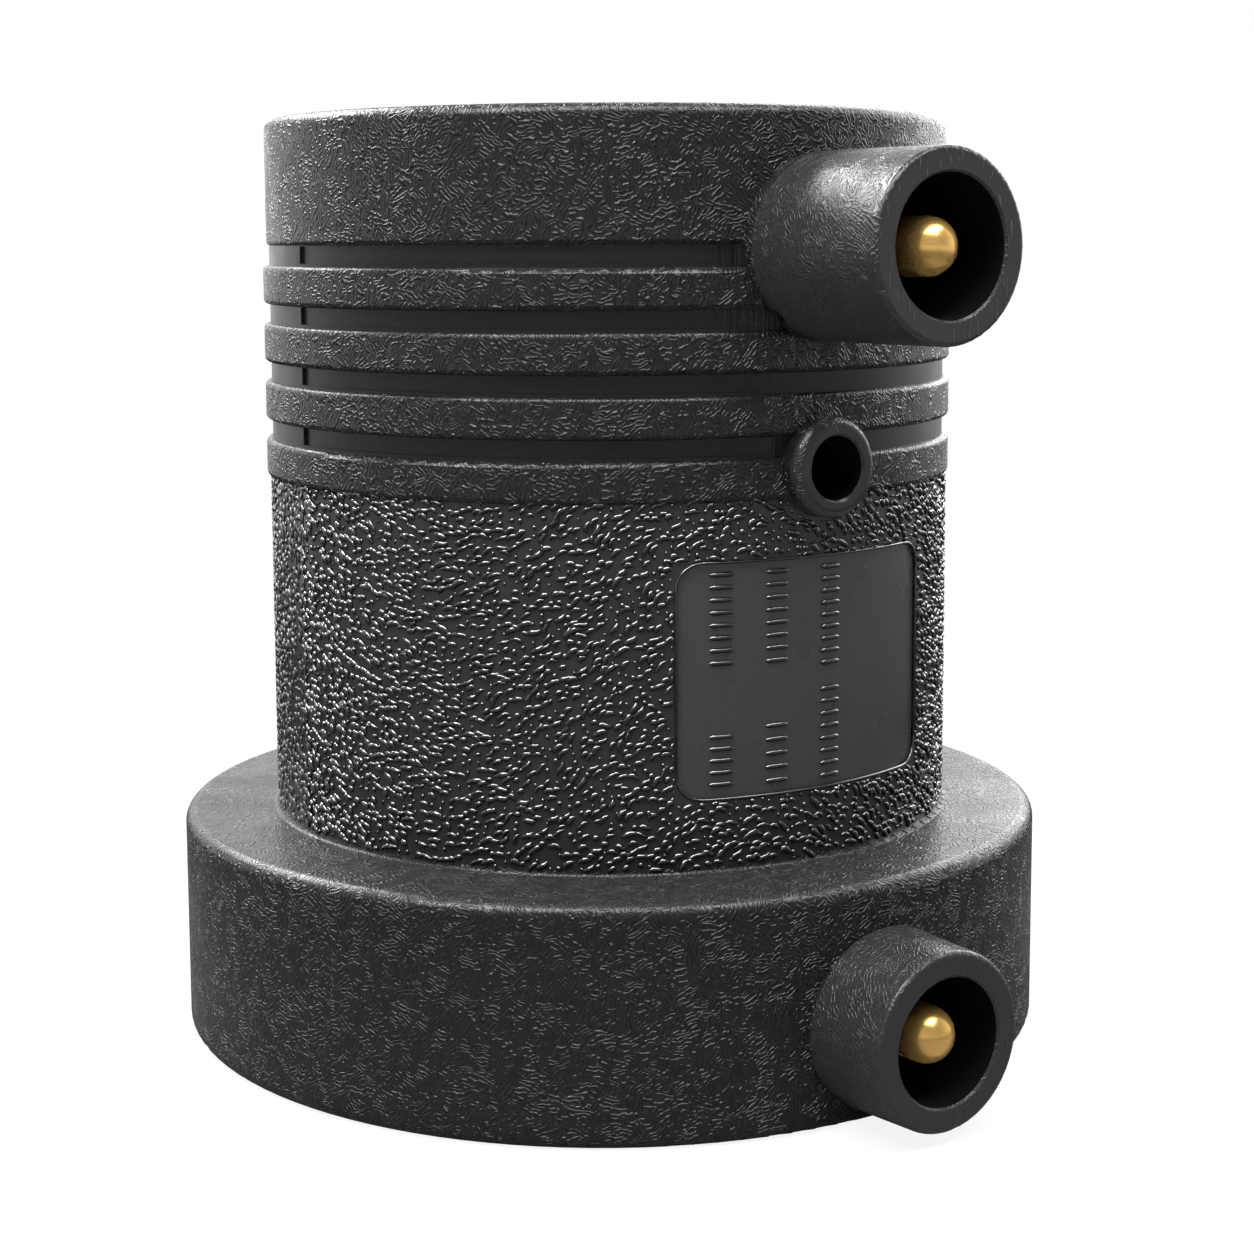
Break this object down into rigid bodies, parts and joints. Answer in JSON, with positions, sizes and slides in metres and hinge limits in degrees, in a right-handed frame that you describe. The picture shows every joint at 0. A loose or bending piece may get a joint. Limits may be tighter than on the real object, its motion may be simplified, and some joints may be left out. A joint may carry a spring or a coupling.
{
  "type": "electrofusion stub end",
  "caption": "Black moulded pipe fitting: a fusion socket with ribs and shrouded terminals on a wide flange with a flat sealing face.",
  "frame": {"origin": "centre of the passage at the flange's sealing face", "axes": "+Z along the bore towards the socket's mouth, -Y the way the two terminals face"},
  "size_m": [0.0832, 0.091, 0.0867],
  "materials": {
    "black_polyethylene": "satin, grained",
    "gold_plated_brass": "polished",
    "resistance_wire": "drawn"
  },
  "bodies": {
    "root": {"fitting_body": "black_polyethylene", "upper_terminal_pin": "gold_plated_brass", "lower_terminal_pin": "gold_plated_brass", "heating_coil": "resistance_wire"}
  },
  "joints": []
}
